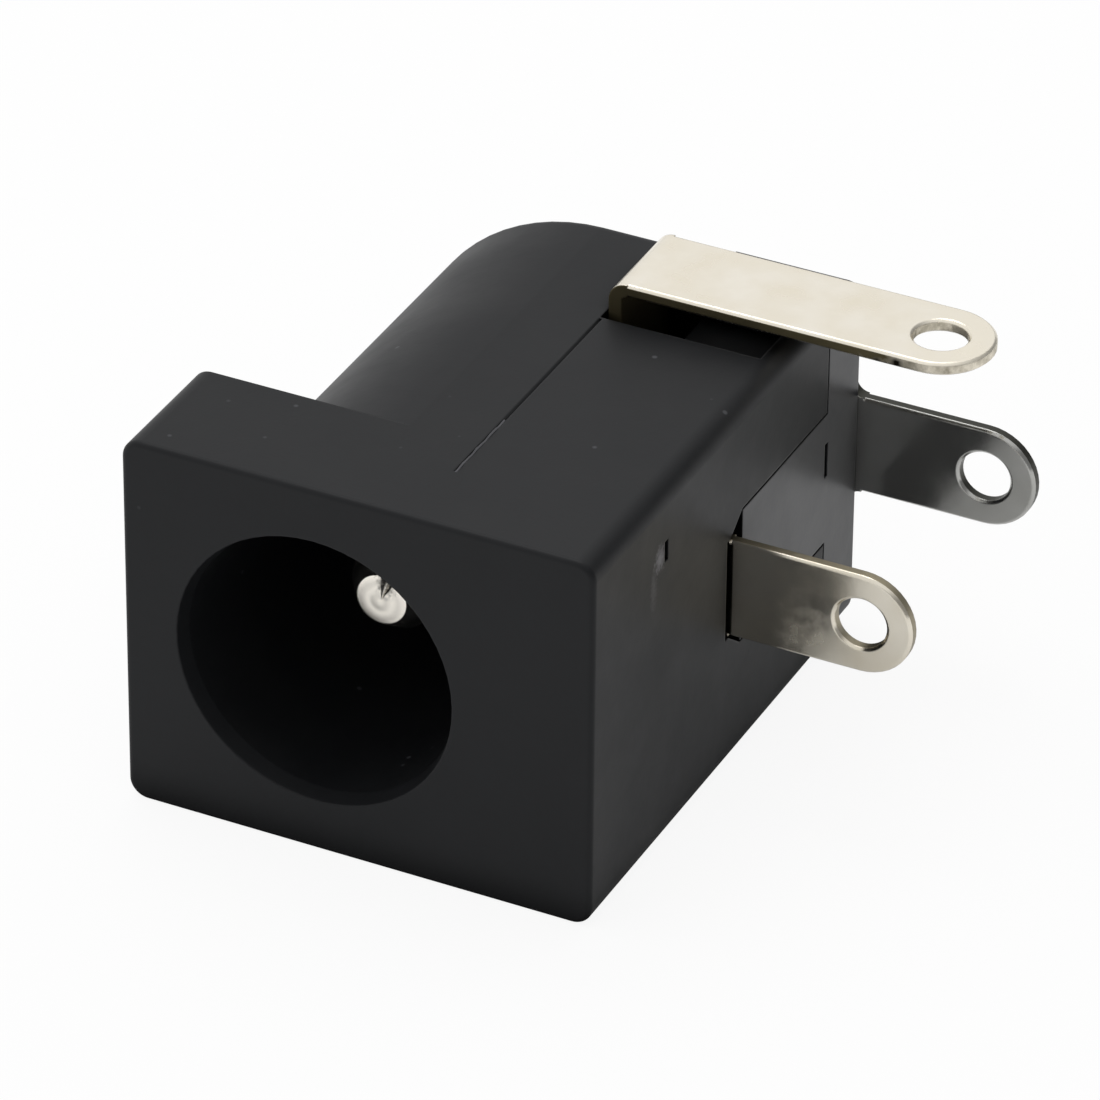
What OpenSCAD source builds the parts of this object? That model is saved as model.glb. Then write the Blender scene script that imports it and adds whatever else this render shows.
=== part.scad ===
// DC barrel jack with a square front flange, a round barrel and three solder lugs.
// It is drawn upright on its board: x across, y back from the mouth, z up from the board.
// lay_down() then turns it onto its flat side, with the lugs towards +X and the mouth towards -Y.

/* [Socket] */
// Diameter of the socket that takes the plug
socket_d = 6.3; // [6:0.05:6.8]
// How much wider the mouth is than the socket, on each side
lead_in = 0.1; // [0.05:0.01:0.2]
// Depth of the tapered lead-in behind the mouth
lead_in_depth = 0.4; // [0.2:0.05:0.8]
// Height of the socket axis above the board
axis_h = 6.5; // [6.3:0.05:7]

/* [Housing] */
// Plastic beside and above the socket at the front flange
wall = 1.35; // [1.2:0.05:1.8]
// Plastic over the socket along the barrel
crown_wall = 0.7; // [0.5:0.05:1]
// Thickness of the front flange
flange_t = 3.2; // [2.4:0.1:4.2]
// Depth of the jack from the mouth to the back of its cover
body_depth = 13.2; // [12.8:0.1:15]
// Radius of the corners that run from front to back
corner_r = 0.45; // [0.3:0.05:0.6]
// Radius of the edges round the front face
edge_r = 0.12; // [0.06:0.01:0.2]
// How far the back of the barrel stands in front of the back of the cover
barrel_setback = 0.6; // [0.4:0.05:0.8]
// Radius of the barrel's back edge
barrel_edge_r = 0.3; // [0.1:0.05:0.4]
// Width and depth of the fine line where the two halves of the mould meet
parting_line = 0.06; // [0.04:0.01:0.1]
// Length of the gate mark on the board side
gate_mark = 0.5; // [0.3:0.1:0.8]
// Width of the gate mark
gate_mark_w = 0.16; // [0.1:0.02:0.3]
// Distance of the gate mark from the switch side
gate_inset = 1.8; // [1.4:0.1:2.4]
// Depth of the gate mark
gate_mark_depth = 0.1; // [0.05:0.05:0.2]
// Distance of the parting line's front end from the mouth
line_start = 2; // [1:0.1:4]
// Depth of the pocket under the switch strip
pocket_depth = 1.1; // [0.5:0.05:1.2]
// Bevel along the pocket's front edge
pocket_bevel = 0.25; // [0.1:0.05:0.4]

/* [Rear cover] */
// Thickness of the block behind the housing's foot
cover_t = 1.6; // [1.5:0.05:1.7]
// Height of the block above the board
cover_h = 3; // [2.5:0.1:3.2]
// How far the sides of the block stand in from the sides of the housing
cover_inset = 0.2; // [0.1:0.05:0.4]
// Radius of the block's back edges
cover_edge_r = 0.15; // [0.1:0.05:0.3]
// Length of the round boss that closes the socket and holds the pin
boss_t = 1.45; // [1.3:0.05:1.5]
// Thickness of the tongue that locks the sleeve contact in its slot
tongue_t = 1.3; // [1:0.1:1.5]
// Width of the tongue
tongue_w = 3.3; // [3:0.1:3.6]
// Length of the short slot at the root of the tongue
root_slot = 0.86; // [0.6:0.02:1.2]

/* [Centre pin] */
// Diameter of the pin
pin_d = 2; // [1.6:0.1:2.5]
// Diameter of the flat on the pin's nose
nose_d = 1.2; // [0.8:0.1:1.4]
// Length of the tapered nose
nose_length = 0.6; // [0.4:0.1:1]
// How far the nose lies behind the mouth
pin_recess = 3.1; // [2.5:0.1:4]
// Diameter of the collar that seats on the boss
collar_d = 3; // [2.7:0.1:3.4]
// Thickness of the collar
collar_t = 0.5; // [0.3:0.05:0.7]
// Diameter of the tail that is riveted over
tail_d = 1.5; // [1.2:0.1:1.5]
// Diameter of the rivet head behind the centre terminal
rivet_d = 2.6; // [2.2:0.1:3]
// Height of the rivet head
rivet_h = 0.7; // [0.4:0.05:0.9]

/* [Terminals] */
// Thickness of the sheet that all three terminals are stamped from
sheet_t = 0.3; // [0.25:0.01:0.35]
// Width of a solder lug
lug_w = 2.4; // [2.2:0.05:2.6]
// How far the lugs reach below the board face
lug_reach = 4.25; // [3.4:0.05:5]
// Diameter of the wire hole in a lug
lug_hole_d = 1.2; // [1:0.05:1.4]
// Bevel round the edges and holes of the sheet
sheet_edge = 0.06; // [0.03:0.01:0.1]
// How far the two middle lugs sit to the switch side of the socket axis
lug_offset = 0.15; // [0:0.05:0.3]
// Distance from the front of the sleeve lug to the back of the cover
sleeve_setback = 6.55; // [6.2:0.05:6.8]
// Width of the spring that presses on the plug's sleeve
spring_w = 3; // [2.6:0.1:3.2]
// How far the spring stands into the socket
spring_rise = 0.5; // [0.3:0.05:0.7]
// Height of the fold at the foot of the spring above the tongue
fold_rise = 1; // [0.8:0.05:1.2]
// Length of the spring's flat crest
crest_length = 1.2; // [1:0.1:1.4]
// How far the spring's tip runs back as it turns down
tip_run = 0.3; // [0.2:0.05:0.4]
// How far the tip turns down from the crest
tip_drop = 1.1; // [0.8:0.05:1.3]
// How far the ear under the switch tab stands out beside the spring
spring_ear = 0.5; // [0.4:0.05:0.7]
// How far the switch strip stands off the side of the housing
strip_gap = 0.45; // [0.35:0.05:0.7]
// Distance from the socket axis to the inner end of the switch tab
tab_reach = 1.5; // [1.4:0.05:1.7]
// Inside radius of the bends
bend_r = 0.12; // [0.1:0.01:0.2]
// Width of the centre terminal where it is riveted
terminal_w = 4; // [3.6:0.1:4.6]
// Height above the board where the centre terminal widens from its lug
shoulder_h = 0.15; // [0.1:0.05:0.6]
// Radius of the inner corners where it widens
root_r = 0.3; // [0.1:0.05:0.4]

/* [Fits] */
// Gap between pieces that fit into each other
fit_gap = 0.05; // [0.03:0.01:0.08]
// Gap in front of the sleeve lug in its slot
slot_gap = 0.15; // [0.1:0.01:0.2]
// Gap between the spring's crest and the switch tab over it
touch_gap = 0.02; // [0.01:0.01:0.05]
// Gap between the spring's tip and the boss behind it
tip_gap = 0.6; // [0.5:0.05:0.8]

/* [Hidden] */
$fn = 64;
eps = 0.01;
// Socket and outer shell
socket_r = socket_d / 2;
mouth_r = socket_r + lead_in;
half_w = socket_r + wall;
flange_h = axis_h + socket_r + wall;
barrel_h = axis_h + socket_r + crown_wall;
barrel_axis_h = barrel_h - half_w;
barrel_end = body_depth - barrel_setback;
socket_floor = axis_h - socket_r;
// Rear cover
cover_front = body_depth - cover_t;
boss_front = body_depth - boss_t;
// Sleeve contact: front face, slot in front of it, and the tongue behind it
sleeve_y = body_depth - sleeve_setback;
slot_front = sleeve_y - slot_gap;
tongue_front = sleeve_y + 2 * sheet_t;
throat_end = tongue_front;
spring_top = socket_floor + spring_rise;
spring_root = tongue_t + fold_rise;
spring_crest = spring_top - sheet_t / 2;
tip_y = boss_front - tip_gap;
crest_back = tip_y - tip_run;
crest_front = crest_back - crest_length;
// Switch contact: its tab lies just above the crest of the spring
switch_y = boss_front - 2 * fit_gap - lug_w / 2;
tab_h = spring_top + touch_gap + sheet_t / 2;
tab_slot_top = tab_h + sheet_t / 2 + fit_gap;
strip_x = half_w + strip_gap;
chamber_floor = socket_floor - sheet_t - fit_gap;
strip_middle = strip_x + sheet_t / 2;
// Lugs, and the bends with their radius at the middle of the sheet
lug_end_r = lug_w / 2;
bend_middle = bend_r + sheet_t / 2;
bend_steps = 10;
total_depth = body_depth + sheet_t + rivet_h;
// Place of the upright jack's board face in the frame that the part lies in
board_x = (flange_h - lug_reach) / 2;

module lay_down() {
    translate([board_x, -total_depth / 2, half_w]) rotate([0, -90, 0]) children();
}

// A solid of revolution about the line along y at height h
module turned(h) {
    translate([0, 0, h]) rotate([-90, 0, 0]) rotate_extrude() children();
}

// Outline in x and z with round corners of radius r
module round_rect(w, h, r) {
    translate([-w / 2 + r, 0]) square([w - 2 * r, h]);
    translate([-w / 2, r]) square([w, h - 2 * r]);
    for (side = [-1, 1], z = [r, h - r]) translate([side * (w / 2 - r), z]) circle(r);
}

// Carries an outline in x and z back along y
module extrude_back(from, to) {
    translate([0, to, 0]) rotate([90, 0, 0]) linear_extrude(to - from) children();
}

// Carries an outline in x and y up along z
module extrude_up(from, to) {
    translate([0, 0, from]) linear_extrude(to - from) children();
}

// Half section of a disc of radius r from y = 0 to depth, its front rim rounded by e
module rim_section(r, depth, e) {
    translate([0, e]) square([r, depth - e]);
    square([r - e, depth]);
    translate([r - e, e]) circle(e);
}

// Section of a plate from y = 0 to depth across half width w, both front edges rounded by e
module front_edges(w, depth, e) {
    translate([-w, e]) square([2 * w, depth - e]);
    translate([-w + e, 0]) square([2 * (w - e), depth]);
    for (side = [-1, 1]) translate([side * (w - e), e]) circle(e);
}

// Front flange: a plate with round corners whose front edges are rounded too
module flange() {
    extrude_up(corner_r, flange_h - corner_r) front_edges(half_w, flange_t, edge_r);
    translate([0, 0, flange_h / 2]) rotate([0, 90, 0])
        translate([0, 0, corner_r - half_w]) linear_extrude(2 * (half_w - corner_r))
            front_edges(flange_h / 2, flange_t, edge_r);
    for (side = [-1, 1], z = [corner_r, flange_h - corner_r])
        translate([side * (half_w - corner_r), 0, 0]) turned(z) rim_section(corner_r, flange_t, edge_r);
}

// Foot of the housing and of the cover: flat sides at half width w, with round corners at the board
module foot_outline(w, h) {
    intersection() {
        round_rect(2 * w, 2 * h, corner_r);
        translate([-w, 0]) square([2 * w, h]);
    }
}

// Barrel and the straight sides under it, rounded where they end at the back
module barrel() {
    translate([0, barrel_end, 0]) mirror([0, 1, 0]) {
        turned(barrel_axis_h) rim_section(half_w, barrel_end - edge_r - eps, barrel_edge_r);
        extrude_up(cover_h, barrel_axis_h)
            front_edges(half_w, barrel_end - edge_r - eps, barrel_edge_r);
    }
}

// Outline in x and y of the slot for the sleeve lug, which widens behind it for the tongue
module tongue_slot(back) {
    lug_half = lug_w / 2 + fit_gap;
    tongue_half = tongue_w / 2 + fit_gap;
    translate([lug_offset, 0]) polygon([
        [-lug_half, slot_front], [lug_half, slot_front], [lug_half, sleeve_y],
        [tongue_half, throat_end], [tongue_half, back], [-tongue_half, back],
        [-tongue_half, throat_end], [-lug_half, sleeve_y]
    ]);
}

// Window where the switch tab comes in and the spring's ear moves, and the pocket under the switch strip
module switch_chamber() {
    tab_front = switch_y - lug_w / 2 - fit_gap;
    tab_back = switch_y + lug_w / 2 + fit_gap;
    translate([0, tab_front, chamber_floor])
        cube([half_w + eps, tab_back - tab_front, tab_slot_top - chamber_floor]);
    extrude_up(corner_r, tab_slot_top) polygon([
        [half_w + eps, tab_front - pocket_bevel - eps], [half_w - pocket_bevel, tab_front],
        [half_w - pocket_depth, tab_front], [half_w - pocket_depth, tab_back], [half_w + eps, tab_back]
    ]);
}

// Fine lines left by the mould: one along each side, and the gate mark on the board side
module mould_marks() {
    line_end = switch_y - lug_w / 2 - 2 * fit_gap - pocket_bevel;
    for (side = [-1, 1])
        translate([side * half_w, line_start, tab_slot_top - parting_line / 2]) rotate([0, 45, 0])
            translate([-parting_line / 2, 0, -parting_line / 2])
                cube([parting_line, line_end - line_start, parting_line]);
    translate([half_w - gate_inset, flange_t + gate_mark_w, -eps])
        cube([gate_mark, gate_mark_w, gate_mark_depth + eps]);
}

// Moulded housing: flange, barrel and foot, with the socket and the contact spaces cut out
module housing() color("#26282a") lay_down() difference() {
    union() {
        flange();
        barrel();
        extrude_back(edge_r + eps, cover_front - fit_gap) foot_outline(half_w, cover_h + eps);
    }
    turned(axis_h) square([socket_r, body_depth + eps]);
    translate([0, -eps, axis_h]) rotate([-90, 0, 0])
        cylinder(r1 = mouth_r + eps * lead_in / lead_in_depth, r2 = socket_r, h = lead_in_depth + eps);
    extrude_up(-eps, axis_h) tongue_slot(body_depth);
    extrude_back(cover_front - fit_gap, body_depth)
        translate([-half_w - eps, -eps]) square([2 * (half_w + eps), cover_h + eps]);
    switch_chamber();
    mould_marks();
}

// Block of the cover, with its back edges rounded at the sides
module cover_block() {
    w = half_w - cover_inset;
    intersection() {
        extrude_back(cover_front, body_depth) foot_outline(w, cover_h - fit_gap);
        translate([0, body_depth, 0]) mirror([0, 1, 0])
            extrude_up(-eps, cover_h) front_edges(w, cover_t + eps, cover_edge_r);
    }
}

// Moulded cover: a block behind the foot, a tongue under the spring and a boss in the socket
module rear_cover() color("#303235") lay_down() difference() {
    union() {
        cover_block();
        translate([lug_offset - tongue_w / 2, tongue_front, 0])
            cube([tongue_w, body_depth - tongue_front, tongue_t]);
        translate([lug_offset - tongue_w / 2, boss_front, 0])
            cube([tongue_w, boss_t, axis_h]);
        translate([0, boss_front, 0]) turned(axis_h) square([socket_r - fit_gap, boss_t]);
    }
    translate([0, boss_front - eps, 0]) turned(axis_h) square([tail_d / 2 + fit_gap, boss_t + 2 * eps]);
    translate([lug_offset + fit_gap, cover_front - 2 * fit_gap, -eps])
        cube([root_slot, 3 * fit_gap, sheet_t + eps]);
}

// Turned pin: tapered nose, shank, collar, and a tail riveted to a dome behind the terminal
module centre_pin() color("#c9c4b8") lay_down() turned(axis_h) {
    collar_front = boss_front - collar_t;
    rivet_front = body_depth + sheet_t;
    dome_r = (pow(rivet_d / 2, 2) + pow(rivet_h, 2)) / (2 * rivet_h);
    polygon([
        [0, pin_recess], [nose_d / 2, pin_recess], [pin_d / 2, pin_recess + nose_length],
        [pin_d / 2, collar_front], [collar_d / 2, collar_front], [collar_d / 2, boss_front],
        [tail_d / 2, boss_front], [tail_d / 2, rivet_front + eps], [0, rivet_front + eps]
    ]);
    intersection() {
        translate([0, total_depth - dome_r]) circle(dome_r);
        translate([0, rivet_front]) square([rivet_d / 2, rivet_h]);
    }
}

// Cross-section of a strip of sheet of width w, with bevelled edges: its thickness lies along x
module sheet_section(w) {
    c = sheet_edge;
    half_t = sheet_t / 2;
    polygon([
        [-half_t, c - w / 2], [c - half_t, -w / 2], [half_t - c, -w / 2], [half_t, c - w / 2],
        [half_t, w / 2 - c], [half_t - c, w / 2], [c - half_t, w / 2], [-half_t, w / 2 - c]
    ]);
}

// Solder lug in the x-z plane, from the height top down to its round end, with the wire hole
module lug(top) {
    hole_z = lug_end_r - lug_reach;
    c = sheet_edge;
    difference() {
        union() {
            translate([0, sheet_t / 2, 0]) extrude_up(hole_z, top) rotate(90) sheet_section(lug_w);
            turned(hole_z) polygon([
                [0, 0], [lug_end_r - c, 0], [lug_end_r, c],
                [lug_end_r, sheet_t - c], [lug_end_r - c, sheet_t], [0, sheet_t]
            ]);
        }
        translate([0, -eps, 0]) turned(hole_z) polygon([
            [0, 0], [lug_hole_d / 2 + c + eps, 0], [lug_hole_d / 2, c + eps],
            [lug_hole_d / 2, sheet_t - c + eps], [lug_hole_d / 2 + c + eps, sheet_t + 2 * eps],
            [0, sheet_t + 2 * eps]
        ]);
    }
}

// Round inner corners, in x and z, where a plate widens from its lug
module root_corners() {
    for (side = [-1, 1]) mirror([side > 0 ? 0 : 1, 0]) difference() {
        translate([lug_w / 2 - 2 * sheet_edge, shoulder_h - root_r]) square([root_r + 2 * sheet_edge, root_r + eps]);
        translate([lug_w / 2 + root_r, shoulder_h - root_r]) circle(root_r);
    }
}

// Centre terminal: a plate flat on the back of the cover, riveted to the pin
module centre_terminal() color("#b4b2aa") lay_down() translate([0, body_depth, 0]) difference() {
    union() {
        translate([lug_offset, 0, 0]) lug(shoulder_h + eps);
        extrude_back(0, sheet_t) {
            translate([lug_offset, 0]) root_corners();
            translate([-terminal_w / 2, shoulder_h]) square([terminal_w, axis_h - shoulder_h]);
            translate([0, axis_h]) circle(terminal_w / 2);
        }
    }
    translate([0, -eps, 0]) turned(axis_h) square([tail_d / 2 + fit_gap, sheet_t + 2 * eps]);
}

function unit(v) = v / norm(v);
function left_of(v) = [-v.y, v.x];
function turn_by(v, a) = [v.x * cos(a) - v.y * sin(a), v.x * sin(a) + v.y * cos(a)];

// Points of the bend at p1, on the line that runs s to the left of the middle of the sheet
function bend_points(p0, p1, p2, s) =
    let (r = bend_middle, a = unit(p1 - p0), b = unit(p2 - p1), side = sign(cross(a, b)), angle = acos(a * b))
    let (centre = p1 - a * r * tan(angle / 2) + side * r * left_of(a))
    [for (i = [0 : bend_steps])
        centre - side * (r - side * s) * left_of(turn_by(a, side * angle * i / bend_steps))];

// One side of a folded sheet: its path moved s to the left, with round bends
function sheet_side(path, s) = let (last = len(path) - 1) [
    for (i = [0 : last])
        if (i == 0) path[0] + s * left_of(unit(path[1] - path[0]))
        else if (i == last) path[last] + s * left_of(unit(path[last] - path[last - 1]))
        else each bend_points(path[i - 1], path[i], path[i + 1], s)
];

// Strip of width w folded along a path in x and y, with its bends bend_r inside
module folded_strip(path, w) {
    right = sheet_side(path, -sheet_t / 2);
    translate([0, 0, -w / 2]) linear_extrude(w) polygon(concat(
        sheet_side(path, sheet_t / 2),
        [for (i = [len(right) - 1 : -1 : 0]) right[i]]
    ));
}

// Outline in x and y that the sleeve contact is stamped to, beside its middle line
module spring_outline() {
    ear_length = crest_length / 2;
    translate([-lug_w / 2, sleeve_y - eps]) square([lug_w, throat_end - sleeve_y + 2 * eps]);
    translate([-spring_w / 2, throat_end]) square([spring_w, tip_y - throat_end]);
    translate([0, crest_back - ear_length]) square([spring_w / 2 + spring_ear, ear_length]);
}

// Sleeve contact: a lug that rises in its slot and folds back into a spring under the socket
module sleeve_contact() color("#bdb8a8") lay_down() translate([lug_offset, 0, 0]) {
    middle_y = sleeve_y + sheet_t / 2;
    translate([0, sleeve_y, 0]) lug(sheet_edge);
    intersection() {
        rotate([90, 0, 90]) folded_strip([
            [middle_y, 0], [middle_y, spring_root], [crest_front, spring_crest],
            [crest_back, spring_crest], [tip_y, spring_crest - tip_drop]
        ], 2 * (spring_w + spring_ear));
        extrude_up(-eps, axis_h) spring_outline();
    }
}

// Switch contact: a strip beside the housing whose top folds in to a tab over the spring
module switch_contact() color("#d0ccc0") lay_down() translate([0, switch_y, 0]) {
    strip_end = tab_h - bend_middle;
    translate([strip_x + sheet_t, 0, 0]) rotate([0, 0, 90]) lug(strip_end);
    rotate([90, 0, 0])
        folded_strip([[strip_middle, strip_end - eps], [strip_middle, tab_h], [tab_reach, tab_h]], lug_w);
}

housing();
rear_cover();
centre_pin();
centre_terminal();
sleeve_contact();
switch_contact();
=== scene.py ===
"""A DC barrel jack on a pale floor: moulded housing and rear cover, turned pin, three stamped terminals."""

import math

import bpy
import numpy as np
from mathutils import Matrix, Vector


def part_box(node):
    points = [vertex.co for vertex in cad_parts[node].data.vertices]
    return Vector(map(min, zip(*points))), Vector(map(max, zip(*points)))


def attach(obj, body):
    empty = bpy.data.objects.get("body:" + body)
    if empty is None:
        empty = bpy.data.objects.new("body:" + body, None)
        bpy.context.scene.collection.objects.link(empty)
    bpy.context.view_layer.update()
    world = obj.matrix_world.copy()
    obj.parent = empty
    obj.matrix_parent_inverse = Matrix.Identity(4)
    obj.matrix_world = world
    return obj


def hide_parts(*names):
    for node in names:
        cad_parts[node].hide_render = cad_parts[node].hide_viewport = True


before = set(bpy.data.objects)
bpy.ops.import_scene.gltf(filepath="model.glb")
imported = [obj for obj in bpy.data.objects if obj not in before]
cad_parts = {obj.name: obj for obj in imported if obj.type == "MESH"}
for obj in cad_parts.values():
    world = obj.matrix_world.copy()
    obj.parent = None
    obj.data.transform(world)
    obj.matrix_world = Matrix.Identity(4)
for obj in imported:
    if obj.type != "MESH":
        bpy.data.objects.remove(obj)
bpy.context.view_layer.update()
MM = 0.001
bpy.context.scene.view_settings.view_transform = "Standard"

# ---- Camera -----------------------------------------------------------------------------------------
# A long lens looks down on the mouth, the flat side that lies upwards and the board face with its lugs.
# Its aim is measured from the middle of the flange's front, then shifted in the frame.
camera_side = math.radians(25.862)
camera_height = math.radians(32.632)
camera_roll = math.radians(0.594)
camera_distance = 172.9 * MM
frame_width_px = 1100
focal_px = 8065.03
sensor_mm = 36.0
aim_from_flange = Vector((2.5, 7.0, 0.0)) * MM
shift_right, shift_up = -1.271 * MM, 0.036 * MM

low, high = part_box("housing")
flange_middle = Vector(((low.x + high.x) / 2, low.y, (low.z + high.z) / 2))
aim = flange_middle + aim_from_flange
backwards = Vector((math.sin(camera_side) * math.cos(camera_height),
                    -math.cos(camera_side) * math.cos(camera_height),
                    math.sin(camera_height)))
level_right = backwards.cross(Vector((0, 0, -1))).normalized()
level_up = backwards.cross(level_right)
aim += level_right * shift_right + level_up * shift_up
right = level_right * math.cos(camera_roll) + level_up * math.sin(camera_roll)
up = level_up * math.cos(camera_roll) - level_right * math.sin(camera_roll)
camera_data = bpy.data.cameras.new("camera")
camera_data.sensor_width = sensor_mm
camera_data.lens = sensor_mm * focal_px / frame_width_px
camera_data.clip_start = 0.01
camera = bpy.data.objects.new("camera", camera_data)
camera.matrix_world = Matrix.Translation(aim + backwards * camera_distance) @ Matrix(
    (right, up, backwards)).transposed().to_4x4()
bpy.context.scene.collection.objects.link(camera)
bpy.context.scene.camera = camera


# ---- Housing ----------------------------------------------------------------------------------------
# One injection moulding in black glass-filled PBT: flange, barrel, foot and socket.
# Its skin is matte, with a fine grain from the spark-eroded mould and a few pale flecks of dust.
def linear(hex_colour):
    """Linear RGBA of an sRGB hex value: ((c + 0.055) / 1.055) ** 2.4, or c / 12.92 up to 0.04045."""
    srgb = np.array([int(hex_colour[i:i + 2], 16) for i in (1, 3, 5)]) / 255
    rgb = np.where(srgb <= 0.04045, srgb / 12.92, ((srgb + 0.055) / 1.055) ** 2.4)
    return (*rgb.tolist(), 1.0)


def add_node(material, kind, links=None, **settings):
    """Adds one node to a material. Links maps an input to a value or to the socket that feeds it."""
    tree = material.node_tree
    node = tree.nodes.new(kind)
    for name, value in settings.items():
        setattr(node, name, value)
    for name, value in (links or {}).items():
        if isinstance(value, bpy.types.NodeSocket):
            tree.links.new(value, node.inputs[name])
        else:
            node.inputs[name].default_value = value
    return node


def new_material(name, metallic=0.0):
    """A material and its Principled shader, metal or not all over."""
    material = bpy.data.materials.new(name)
    material.use_nodes = True
    shader = material.node_tree.nodes["Principled BSDF"]
    shader.inputs["Metallic"].default_value = metallic
    return material, shader


def blot(material, place, centre_mm, radii_mm, ragged_mm):
    """Factor from 1 at a centre down to 0 near an ellipsoid's surface. It rises from 0 to 1 while the
    distance in radii, less 2.4 times a fine noise that makes the edge ragged, falls from 0.1 to -1."""
    shaped = add_node(material, "ShaderNodeMapping", {
        "Vector": place, "Location": tuple(-c / r for c, r in zip(centre_mm, radii_mm)),
        "Scale": tuple(1 / (r * MM) for r in radii_mm)}).outputs["Vector"]
    distance = add_node(material, "ShaderNodeVectorMath", {0: shaped}, operation="LENGTH").outputs["Value"]
    ragged = add_node(material, "ShaderNodeTexNoise", {
        "Vector": place, "Scale": 1 / (ragged_mm * MM), "Detail": 4.0, "Roughness": 0.65}).outputs["Fac"]
    edge = add_node(material, "ShaderNodeMath", {
        0: ragged, 1: -2.4, 2: distance}, operation="MULTIPLY_ADD").outputs["Value"]
    return add_node(material, "ShaderNodeMapRange", {
        "Value": edge, "From Min": 0.1, "From Max": -1.0}).outputs["Result"]


def moulded_plastic(name, dark, light, fleck, roughness, specular, grain_mm, scuffs=()):
    """Moulded black thermoplastic: cloudy in colour and gloss, with eroded grain and pale flecks, and
    painted shade in its recesses, where ambient occlusion darkens the colour and lowers the specular level.
    Each scuff is a centre and radii in mm with a strength."""
    material, shader = new_material(name)
    place = add_node(material, "ShaderNodeTexCoord").outputs["Object"]
    cloud = add_node(material, "ShaderNodeTexNoise", {
        "Vector": place, "Scale": 1 / (2.2 * MM), "Detail": 4.0, "Roughness": 0.6}).outputs["Fac"]
    colour = add_node(material, "ShaderNodeMix", {
        0: cloud, 6: linear(dark), 7: linear(light)}, data_type="RGBA").outputs[2]
    # Flecks are the middles of a few cells 0.45 mm apart
    cells = add_node(material, "ShaderNodeTexVoronoi", {"Vector": place, "Scale": 1 / (0.45 * MM)}).outputs
    lot = add_node(material, "ShaderNodeSeparateColor", {"Color": cells["Color"]}).outputs["Red"]
    rare = add_node(material, "ShaderNodeMapRange", {
        "Value": lot, "From Min": 0.955, "From Max": 0.965}).outputs["Result"]
    middle = add_node(material, "ShaderNodeMapRange", {
        "Value": cells["Distance"], "From Min": 0.16, "From Max": 0.08}).outputs["Result"]
    flecked = add_node(material, "ShaderNodeMath", {
        0: rare, 1: middle}, operation="MULTIPLY").outputs["Value"]
    colour = add_node(material, "ShaderNodeMix", {
        0: flecked, 6: colour, 7: linear(fleck)}, data_type="RGBA").outputs[2]
    for centre, radii, strength in scuffs:
        rubbed = add_node(material, "ShaderNodeMath", {
            0: blot(material, place, centre, radii, 0.12), 1: strength}, operation="MULTIPLY").outputs["Value"]
        colour = add_node(material, "ShaderNodeMix", {
            0: rubbed, 6: colour, 7: linear("#77767a")}, data_type="RGBA").outputs[2]
    # Painted shade: where ambient occlusion finds the surface enclosed (socket, pocket under the strip,
    # creases) the colour goes to near-black and the specular level falls
    openness = add_node(material, "ShaderNodeAmbientOcclusion", {
        "Distance": 1.6 * MM}, samples=6).outputs["AO"]
    painted_shade_factor = add_node(material, "ShaderNodeMapRange", {
        "Value": openness, "From Min": 0.4, "From Max": 0.8, "To Min": 0.1}).outputs["Result"]
    colour = add_node(material, "ShaderNodeMix", {
        0: painted_shade_factor, 6: linear("#020202"), 7: colour}, data_type="RGBA").outputs[2]
    specular_in_painted_shade = add_node(material, "ShaderNodeMath", {
        0: painted_shade_factor, 1: specular}, operation="MULTIPLY").outputs["Value"]
    gloss = add_node(material, "ShaderNodeMapRange", {
        "Value": cloud, "From Min": 0.3, "From Max": 0.7,
        "To Min": roughness - 0.05, "To Max": roughness + 0.05}).outputs["Result"]
    grain = add_node(material, "ShaderNodeTexNoise", {
        "Vector": place, "Scale": 1 / (grain_mm * MM), "Detail": 3.0, "Roughness": 0.55}).outputs["Fac"]
    relief = add_node(material, "ShaderNodeBevel", {"Radius": 0.07 * MM}, samples=6).outputs["Normal"]
    for height, strength, depth_mm in ((grain, 0.35, 0.004), (cloud, 0.5, 0.02)):
        relief = add_node(material, "ShaderNodeBump", {
            "Strength": strength, "Distance": depth_mm * MM,
            "Height": height, "Normal": relief}).outputs["Normal"]
    for socket, value in (("Base Color", colour), ("Specular IOR Level", specular_in_painted_shade), ("Roughness", gloss),
                          ("Normal", relief)):
        material.node_tree.links.new(value, shader.inputs[socket])
    return material


def dress(node, material):
    """Puts a material in every slot of a CAD node."""
    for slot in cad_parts[node].material_slots:
        slot.material = material


low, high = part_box("housing")
board_x, mouth_y, side_z = high.x / MM, low.y / MM, high.z / MM
gate_scuff = ((board_x, mouth_y + 3.14, side_z - 1.6), (0.2, 0.24, 0.28), 0.8)
gate_trail = ((board_x, mouth_y + 2.85, side_z - 2.2), (0.2, 0.14, 0.5), 0.22)
dress("housing", moulded_plastic("black_pbt_eroded", dark="#141517", light="#1f2022", fleck="#424346",
                                 roughness=0.46, specular=0.185, grain_mm=0.09,
                                 scuffs=(gate_scuff, gate_trail)))


def new_piece(name, points, faces):
    """A mesh object at the origin from numpy points and lists of faces, shaded smooth."""
    mesh = bpy.data.meshes.new(name)
    mesh.from_pydata(points, [], faces)
    mesh.polygons.foreach_set("use_smooth", np.ones(len(mesh.polygons), bool))
    mesh.update()
    piece = bpy.data.objects.new(name, mesh)
    bpy.context.scene.collection.objects.link(piece)
    return piece


def grid_faces(rows, columns, closed):
    """Quads of a grid of vertices stored row by row: each joins a vertex to the next column and row. A closed
    grid also joins the last column to the first."""
    joined = columns if closed else columns - 1
    row, column = np.meshgrid(np.arange(rows - 1), np.arange(joined), indexing="ij")
    following = (column + 1) % columns
    return np.stack([row * columns + column, (row + 1) * columns + column,
                     (row + 1) * columns + following, row * columns + following], -1).reshape(-1, 4)


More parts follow.
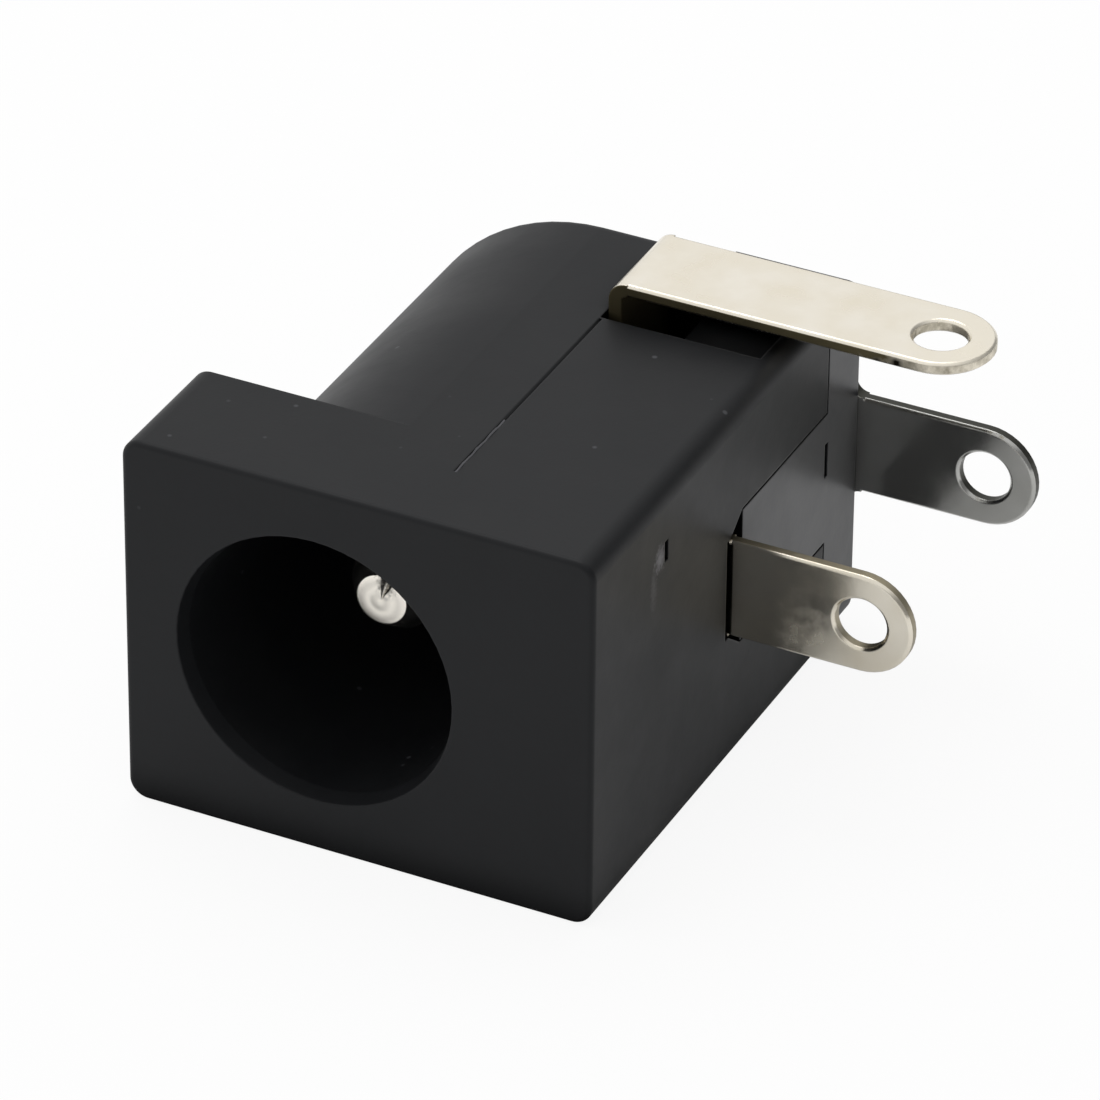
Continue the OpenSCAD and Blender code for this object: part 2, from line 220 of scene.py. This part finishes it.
# Flash: a paper-thin ridge that the mould left over the front of the parting line, all in mm. Its pale grey
# colour is a painted highlight along its crest
flash_start, flash_end, flash_half, flash_height, flash_root = 1.95, 4.3, 0.035, 0.04, 0.03
parting_height = 4.19


def flash_ridge(steps=60):
    """Ridge along Y on the flat side, with a triangular section of half width flash_half. Its height at the
    share t of its length is flash_height * (0.55 + 0.25 sin 19t + 0.2 sin(47t + 1)), brought to nothing over
    an eighth at both ends, and its line strays by 0.008 sin 23t."""
    t = np.linspace(0, 1, steps)
    y = mouth_y + flash_start + t * (flash_end - flash_start)
    uneven = 0.55 + 0.25 * np.sin(19 * t) + 0.2 * np.sin(47 * t + 1)
    height = flash_height * uneven * np.clip(np.minimum(t, 1 - t) * 8, 0, 1)
    x = board_x - parting_height + 0.008 * np.sin(23 * t)
    buried = np.full(steps, -flash_root)
    rows = [np.stack([x + side * flash_half, y, side_z + lift], 1)
            for side, lift in ((-1, buried), (0, height), (1, buried))]
    return np.stack(rows, 1).reshape(-1, 3) * MM, grid_faces(steps, 3, closed=False).tolist()


flash = new_piece("parting_flash", *flash_ridge())
# Painted highlight: the ridge's colour is pale grey where the plastic itself is black
flash.data.materials.append(moulded_plastic("pbt_flash_painted_highlight", dark="#3a3a3d", light="#66666a",
                                            fleck="#77777a", roughness=0.5, specular=0.3, grain_mm=0.09))
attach(flash, "root")

# ---- Rear cover -------------------------------------------------------------------------------------
# A second moulding in the same plastic, pressed in from behind. Its mould was polished, so the block
# and tongue are a little smoother and greyer than the housing.
dress("rear_cover", moulded_plastic("black_pbt_smooth", dark="#202124", light="#2a2b2f", fleck="#4c4d50",
                                    roughness=0.36, specular=0.42, grain_mm=0.12))


# ---- Centre pin -------------------------------------------------------------------------------------
# Turned brass rod under bright nickel: a tapered nose, the shank, a collar and a riveted tail.
# The cutting tool leaves fine rings, and the nose has a small nick at the top where it was knocked.
nose_radius, shank_radius, collar_radius, tail_radius, rivet_radius = 0.6, 1.0, 1.5, 0.75, 1.3
nose_length, collar_length, rivet_height = 0.6, 0.5, 0.7
boss_length, terminal_thickness = 1.45, 0.3
corner_rounds = [0.06, 0.12, 0.03, 0.05, 0.03, 0.03, 0.03, 0.05, 0.9]
nick_angle, nick_depth, nick_half_width = math.radians(14), 0.16, 0.2
nick_middle, nick_shade_radii = 0.48, (0.2, 0.3, 0.34)
low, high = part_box("centre_pin")
nose_y, rivet_y = low.y / MM, high.y / MM
pin_axis = (low + high) / 2


def rounded_profile(corners, radii, steps=5):
    """Points of a line through corners, each inner corner cut by an arc of its radius r. The arc's centre
    lies r off both runs, and its spoke turns evenly from the first run's normal to the second's."""
    corners = np.array(corners)
    points = [corners[:1]]
    for before, corner, after, r in zip(corners, corners[1:], corners[2:], radii):
        run_in = (corner - before) / np.linalg.norm(corner - before)
        run_out = (after - corner) / np.linalg.norm(after - corner)
        side = np.sign(run_in[0] * run_out[1] - run_in[1] * run_out[0])
        turn = math.acos(np.clip(run_in @ run_out, -1, 1))
        spoke = side * r * np.array([run_in[1], -run_in[0]])
        centre = corner - run_in * r * math.tan(turn / 2) - spoke
        angles = side * np.linspace(0, turn, steps)
        points.append(centre + np.stack([spoke[0] * np.cos(angles) - spoke[1] * np.sin(angles),
                                         spoke[0] * np.sin(angles) + spoke[1] * np.cos(angles)], 1))
    points.append(corners[-1:])
    return np.concatenate(points)


def turned_pin(sides=96):
    """Surface of revolution about Y: (radius, y) from the rounded profile, at evenly spaced angles. The nick
    sinks the nose by nick_depth * radius / nose_radius in the middle of a wedge, falling evenly to nothing at
    its sides and over the length of the taper. A fan of triangles closes each end."""
    collar_back = rivet_y - rivet_height - terminal_thickness - boss_length
    collar_front = collar_back - collar_length
    rivet_front = rivet_y - rivet_height
    profile = rounded_profile([
        (0.0, nose_y), (nose_radius, nose_y), (shank_radius, nose_y + nose_length),
        (shank_radius, collar_front), (collar_radius, collar_front), (collar_radius, collar_back),
        (tail_radius, collar_back), (tail_radius, rivet_front), (rivet_radius, rivet_front),
        (0.75 * rivet_radius, rivet_y - 0.35 * rivet_height), (0.0, rivet_y)], corner_rounds)
    nose_face = np.stack([np.linspace(0.02, 0.9, 12) * nose_radius, np.full(12, nose_y)], 1)
    profile = np.concatenate([nose_face, profile[1:-1]])
    radius, y = profile[:, :1], profile[:, 1:]
    angle = np.linspace(0, 2 * math.pi, sides, endpoint=False)[None, :]
    reach = np.clip(radius / nose_radius, 0, 1)
    off_middle = np.abs(np.sin(angle - nick_angle)) * radius
    sunk = np.clip(1 - off_middle / (nick_half_width * reach), 0, 1) * (np.cos(angle - nick_angle) > 0)
    taper = np.clip(1 - (y - nose_y) / nose_length, 0, 1)
    y = y + nick_depth * reach * sunk * taper
    points = np.stack([radius * np.sin(angle), y, radius * np.cos(angle)], -1).reshape(-1, 3)
    ends = np.array([[0.0, nose_y, 0.0], [0.0, rivet_y, 0.0]])
    points = np.concatenate([points, ends]) + np.array([pin_axis.x / MM, 0.0, pin_axis.z / MM])
    faces = grid_faces(len(profile), sides, closed=True)[:, ::-1].tolist()
    front_middle, back_middle = len(profile) * sides, len(profile) * sides + 1
    ring = np.arange(sides)
    following = (ring + 1) % sides
    back_row = (len(profile) - 1) * sides
    faces += np.stack([np.full(sides, front_middle), following, ring], 1).tolist()
    faces += np.stack([ring + back_row, following + back_row, np.full(sides, back_middle)], 1).tolist()
    return points * MM, faces


def turned_nickel(name, colour, nick_shade, roughness, nick_centre):
    """Bright nickel on turned brass, with rings about the pin's axis along Y and painted shade darkening the
    nick.
    """
    material, shader = new_material(name, metallic=1.0)
    place = add_node(material, "ShaderNodeTexCoord").outputs["Object"]
    centred = add_node(material, "ShaderNodeMapping", {"Vector": place, "Location": tuple(-pin_axis)})
    rings = add_node(material, "ShaderNodeTexWave", {
        "Vector": centred.outputs["Vector"], "Scale": 1 / (0.9 * MM), "Distortion": 0.6,
        "Detail": 2.0, "Detail Scale": 3.0}, wave_type="RINGS", rings_direction="Y").outputs["Fac"]
    relief = add_node(material, "ShaderNodeBump", {
        "Strength": 0.5, "Distance": 0.004 * MM, "Height": rings}).outputs["Normal"]
    # Painted shade: the nick is coloured a near-black brown
    in_nick = blot(material, place, nick_centre, nick_shade_radii, 0.1)
    tint = add_node(material, "ShaderNodeMix", {
        0: in_nick, 6: linear(colour), 7: linear(nick_shade)}, data_type="RGBA").outputs[2]
    gloss = add_node(material, "ShaderNodeMapRange", {
        "Value": rings, "To Min": roughness - 0.05, "To Max": roughness + 0.05}).outputs["Result"]
    for socket, value in (("Base Color", tint), ("Roughness", gloss), ("Normal", relief)):
        material.node_tree.links.new(value, shader.inputs[socket])
    return material


pin = new_piece("pin_turned", *turned_pin())
nick_centre = (pin_axis.x / MM + nick_middle * math.sin(nick_angle), nose_y,
               pin_axis.z / MM + nick_middle * math.cos(nick_angle))
pin.data.materials.append(turned_nickel("bright_nickel_turned", "#fffaf0", "#24221e", 0.22, nick_centre))
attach(pin, "root")
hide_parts("centre_pin")


# ---- Terminals --------------------------------------------------------------------------------------
# Three stampings from 0.3 mm brass strip, plated with bright tin. Rolling left faint lines along the
# strip, handling left cloudy patches, and the plating reflects the housing and the floor like a soft mirror.
def tinned_brass(name, colour, stain, dull_edge_and_painted_shade, roughness, thin_axis, wear_and_painted_highlights=()):
    """Tin plate on rolled brass strip: rolling lines along X, cloudy gloss and faint stains. The sheared
    edges, whose normals lie across the thin axis, are rougher and take a darker colour that is partly the
    duller cut metal and partly painted shade. Each mark, of wear or painted highlight, is a centre and radii
    in mm, a colour, an added roughness and a strength."""
    material, shader = new_material(name, metallic=1.0)
    place = add_node(material, "ShaderNodeTexCoord").outputs["Object"]
    drawn = add_node(material, "ShaderNodeMapping", {"Vector": place, "Scale": (0.04, 1.0, 1.0)})
    lines = add_node(material, "ShaderNodeTexNoise", {
        "Vector": drawn.outputs["Vector"], "Scale": 1 / (0.1 * MM), "Detail": 2.0}).outputs["Fac"]
    cloud = add_node(material, "ShaderNodeTexNoise", {
        "Vector": place, "Scale": 1 / (1.1 * MM), "Detail": 3.0, "Roughness": 0.5}).outputs["Fac"]
    patch = add_node(material, "ShaderNodeMapRange", {
        "Value": cloud, "From Min": 0.35, "From Max": 0.75}).outputs["Result"]
    tint = add_node(material, "ShaderNodeMix", {
        0: patch, 6: linear(colour), 7: linear(stain)}, data_type="RGBA").outputs[2]
    normal = add_node(material, "ShaderNodeNewGeometry").outputs["True Normal"]
    facing = add_node(material, "ShaderNodeVectorMath", {
        0: normal, 1: thin_axis}, operation="DOT_PRODUCT").outputs["Value"]
    flat = add_node(material, "ShaderNodeMath", {0: facing}, operation="ABSOLUTE").outputs["Value"]
    sheared = add_node(material, "ShaderNodeMapRange", {
        "Value": flat, "From Min": 0.75, "From Max": 0.3}).outputs["Result"]
    # Painted shade: faces across the thin axis, the cut edges, take the darker edge colour, partly duller cut
    # metal and partly painted shade
    tint = add_node(material, "ShaderNodeMix", {
        0: sheared, 6: tint, 7: linear(dull_edge_and_painted_shade)}, data_type="RGBA").outputs[2]
    gloss = add_node(material, "ShaderNodeMapRange", {
        "Value": cloud, "From Min": 0.3, "From Max": 0.7,
        "To Min": roughness - 0.04, "To Max": roughness + 0.04}).outputs["Result"]
    gloss = add_node(material, "ShaderNodeMath", {
        0: sheared, 1: 0.25, 2: gloss}, operation="MULTIPLY_ADD").outputs["Value"]
    for centre, radii, mark, added_roughness, strength in wear_and_painted_highlights:
        rubbed = add_node(material, "ShaderNodeMath", {
            0: blot(material, place, centre, radii, 0.35), 1: strength}, operation="MULTIPLY").outputs["Value"]
        gloss = add_node(material, "ShaderNodeMath", {
            0: rubbed, 1: added_roughness, 2: gloss}, operation="MULTIPLY_ADD").outputs["Value"]
        tint = add_node(material, "ShaderNodeMix", {
            0: rubbed, 6: tint, 7: linear(mark)}, data_type="RGBA").outputs[2]
    relief = add_node(material, "ShaderNodeBevel", {"Radius": 0.05 * MM}, samples=6).outputs["Normal"]
    for height, strength, depth_mm in ((lines, 0.25, 0.001), (cloud, 0.4, 0.008)):
        relief = add_node(material, "ShaderNodeBump", {
            "Strength": strength, "Distance": depth_mm * MM,
            "Height": height, "Normal": relief}).outputs["Normal"]
    for socket, value in (("Base Color", tint), ("Roughness", gloss), ("Normal", relief)):
        material.node_tree.links.new(value, shader.inputs[socket])
    return material


across, upright = (0.0, 1.0, 0.0), (0.0, 0.0, 1.0)

# The sleeve lug is rubbed paler along its middle and low towards its hole
lug_y, lug_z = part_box("sleeve_contact")[0].y / MM, side_z / 2
rubbed_patches = [((board_x + 1.5, lug_y, lug_z - 0.15), (0.6, 1.0, 1.5), "#f4ead2", 0.3, 0.2),
                  ((board_x + 2.1, lug_y, lug_z - 0.8), (0.8, 1.0, 1.0), "#f8f2e4", 0.3, 0.28)]
dress("sleeve_contact", tinned_brass("tin_plate_sleeve", "#ede7d9", "#e2dac8", "#99917d", 0.14, across,
                                     rubbed_patches))

# The centre lug has the same bright tin, but its colour and edge colour are painted darker and greyer: painted
# shade for the lug beside the cover
dress("centre_terminal", tinned_brass("tin_plate_centre_painted_shade", "#bdbdba", "#b2b2ae", "#42423d", 0.16, across))

# A pale patch round the end of the lug paints the cut edge as light as the plating, a painted highlight there,
# and the edge has two dark burrs before it
low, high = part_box("switch_contact")
edge_y, edge_z = low.y / MM, high.z / MM - 0.22
strip_burrs_and_painted_highlight = [((board_x + 3.5, edge_y + 1.2, edge_z), (1.2, 2.4, 1.2), "#f3ecdc", 0.0, 1.0),
               ((board_x + 2.55, edge_y, edge_z), (0.14, 0.15, 0.12), "#1c1912", 0.3, 1.0),
               ((board_x + 2.1, edge_y, edge_z - 0.05), (0.1, 0.15, 0.1), "#1c1912", 0.3, 0.9)]
dress("switch_contact", tinned_brass("tin_plate_switch", "#f6f0e3", "#ece4d2", "#6e664e", 0.25, upright,
                                     strip_burrs_and_painted_highlight))

# ---- Floor and light --------------------------------------------------------------------------------
# A white table in a light tent that is bright overhead and on the left, and darker low on the right.
# The camera sees the table as white paper that keeps a tenth of the shadow, and mirrors see it darker.
floor_half = 600 * MM
white_for_camera, white_for_mirrors = 0.9, 0.12
tent_dark, tent_bright = 0.35, 1.1
softbox_side, softbox_watts, softbox_place = 180 * MM, 0.2, Vector((-60, 40, 260)) * MM

paper = bpy.data.materials.new("white_paper")
paper.use_nodes = True
paper.node_tree.nodes.clear()
rays = add_node(paper, "ShaderNodeLightPath").outputs
by_eye = add_node(paper, "ShaderNodeMath", {
    0: rays["Is Camera Ray"], 1: white_for_camera}, operation="MULTIPLY").outputs["Value"]
by_mirror = add_node(paper, "ShaderNodeMath", {
    0: rays["Is Glossy Ray"], 1: rays["Is Transmission Ray"]}, operation="MAXIMUM").outputs["Value"]
by_mirror = add_node(paper, "ShaderNodeMath", {
    0: by_mirror, 1: white_for_mirrors}, operation="MULTIPLY").outputs["Value"]
share = add_node(paper, "ShaderNodeMath", {0: by_eye, 1: by_mirror}, operation="MAXIMUM").outputs["Value"]
matte = add_node(paper, "ShaderNodeBsdfDiffuse", {"Color": linear("#f4f4f4")}).outputs["BSDF"]
white = add_node(paper, "ShaderNodeEmission", {"Color": linear("#ffffff")}).outputs["Emission"]
seen = add_node(paper, "ShaderNodeMixShader", {0: share, 1: matte, 2: white}).outputs["Shader"]
add_node(paper, "ShaderNodeOutputMaterial", {"Surface": seen})

floor_corners = [(x * floor_half, y * floor_half, 0) for x, y in ((-1, -1), (1, -1), (1, 1), (-1, 1))]
floor = new_piece("floor", floor_corners, [(0, 1, 2, 3)])
floor.data.materials.append(paper)

world = bpy.data.worlds.new("light_tent")
world.use_nodes = True
world.node_tree.nodes.clear()
bpy.context.scene.world = world
direction = add_node(world, "ShaderNodeTexCoord").outputs["Generated"]
up_and_left = add_node(world, "ShaderNodeVectorMath", {
    0: direction, 1: (-0.6, 0.0, 1.0)}, operation="DOT_PRODUCT").outputs["Value"]
brightness = add_node(world, "ShaderNodeMapRange", {
    "Value": up_and_left, "From Min": 0.0, "From Max": 0.55, "To Min": tent_dark, "To Max": tent_bright},
    interpolation_type="SMOOTHSTEP").outputs["Result"]
tent = add_node(world, "ShaderNodeBackground", {"Strength": brightness}).outputs["Background"]
backdrop = add_node(world, "ShaderNodeBackground", {"Color": linear("#ffffff")}).outputs["Background"]
rays = add_node(world, "ShaderNodeLightPath").outputs
seen = add_node(world, "ShaderNodeMixShader", {
    0: rays["Is Camera Ray"], 1: tent, 2: backdrop}).outputs["Shader"]
add_node(world, "ShaderNodeOutputWorld", {"Surface": seen})

lamp_data = bpy.data.lights.new("overhead_softbox", "AREA")
lamp_data.shape = "SQUARE"
lamp_data.size = softbox_side
lamp_data.energy = softbox_watts
lamp = bpy.data.objects.new("overhead_softbox", lamp_data)
lamp.location = softbox_place
lamp.rotation_euler = (-softbox_place).to_track_quat("-Z", "Y").to_euler()
bpy.context.scene.collection.objects.link(lamp)
